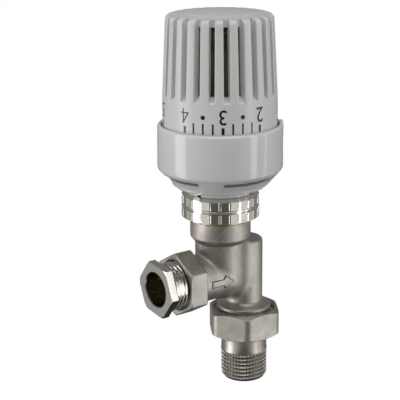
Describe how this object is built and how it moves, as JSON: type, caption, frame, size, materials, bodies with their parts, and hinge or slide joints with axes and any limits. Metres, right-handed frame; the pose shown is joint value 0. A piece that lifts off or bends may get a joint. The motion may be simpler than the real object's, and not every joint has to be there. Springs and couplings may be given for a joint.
{
  "type": "thermostatic radiator valve",
  "caption": "Thermostatic radiator valve: white ribbed sensor head on a nickel-plated brass body with a side compression inlet and a union tail below.",
  "frame": {"origin": "on the radiator tail's axis, at the first full crest of its thread, 2 mm above the tail's end", "axes": "+Z along the tail and the head, from the radiator tail up to the handwheel; the pipe enters along +X from the -X side"},
  "size_m": [0.0657, 0.0544, 0.1682],
  "materials": {
    "satin_nickel": "bead-blasted nickel plating on forged brass, satin",
    "bright_nickel": "turned and nickel-plated brass, bright",
    "bare_brass": "turned brass, unplated",
    "stainless": "drawn and turned stainless steel",
    "black_rubber": "moulded EPDM rubber",
    "white_gloss": "injection-moulded plastic, glossy white",
    "white_satin": "injection-moulded plastic, satin white",
    "grey_plastic": "glass-filled plastic",
    "capsule_shell": "bronze-coloured shell of a liquid-filled capsule"
  },
  "bodies": {
    "valve_set": {"valve_body": "satin_nickel", "tail_nipple": "satin_nickel", "tail_o_ring": "black_rubber", "olive": "bare_brass", "bonnet": "bare_brass", "bonnet_o_ring": "black_rubber", "packing_nut": "bare_brass", "spindle_o_ring": "black_rubber", "return_spring": "stainless", "base_shell": "white_gloss", "guide_sleeve": "grey_plastic"},
    "union_nut": {"union_nut": "satin_nickel"},
    "gland_nut": {"gland_nut": "bright_nickel"},
    "lock_ring": {"lock_ring": "bright_nickel"},
    "sensor_carrier": {"sensor_holder": "grey_plastic", "sensor_capsule": "capsule_shell", "spring_cup": "grey_plastic", "overload_spring": "stainless", "thrust_washer": "stainless"},
    "handwheel": {"handwheel": "white_satin"},
    "valve_stem": {"sensor_plunger": "grey_plastic", "spindle": "stainless", "spring_seat": "stainless", "retaining_clip": "stainless", "plug_holder": "bare_brass", "seat_washer": "black_rubber", "washer_clip": "stainless"}
  },
  "joints": [
    {"name": "sensor_lift", "type": "slide", "parent": "valve_set", "child": "sensor_carrier", "axis": [0, 0, 1], "range_m": [-0.00056, 0.00238], "deforming": ["return_spring"]},
    {"name": "handwheel_turn", "type": "hinge", "parent": "sensor_carrier", "child": "handwheel", "pos_m": [-0.01325, 0, 0.137], "axis": [0, 0, 1], "range_deg": [-41.5, 175]},
    {"name": "thermal_stroke", "type": "slide", "parent": "sensor_carrier", "child": "valve_stem", "axis": [0, 0, 1], "range_m": [-0.001, 0.0003], "stiffness_N_per_m": 4000, "deforming": ["return_spring"]},
    {"name": "lock_ring_turn", "type": "hinge", "parent": "valve_set", "child": "lock_ring", "pos_m": [-0.01325, 0, 0.0839], "axis": [0, 0, 1], "continuous": true},
    {"name": "union_nut_turn", "type": "hinge", "parent": "valve_set", "child": "union_nut", "pos_m": [0, 0, 0.0254], "axis": [0, 0, 1], "continuous": true},
    {"name": "gland_nut_turn", "type": "hinge", "parent": "valve_set", "child": "gland_nut", "pos_m": [-0.045, 0, 0.0498], "axis": [-1, 0, 0], "continuous": true}
  ],
  "couplings": [
    {"joint": "handwheel_turn", "follows": "sensor_lift", "rad_per_m": 1282}
  ]
}
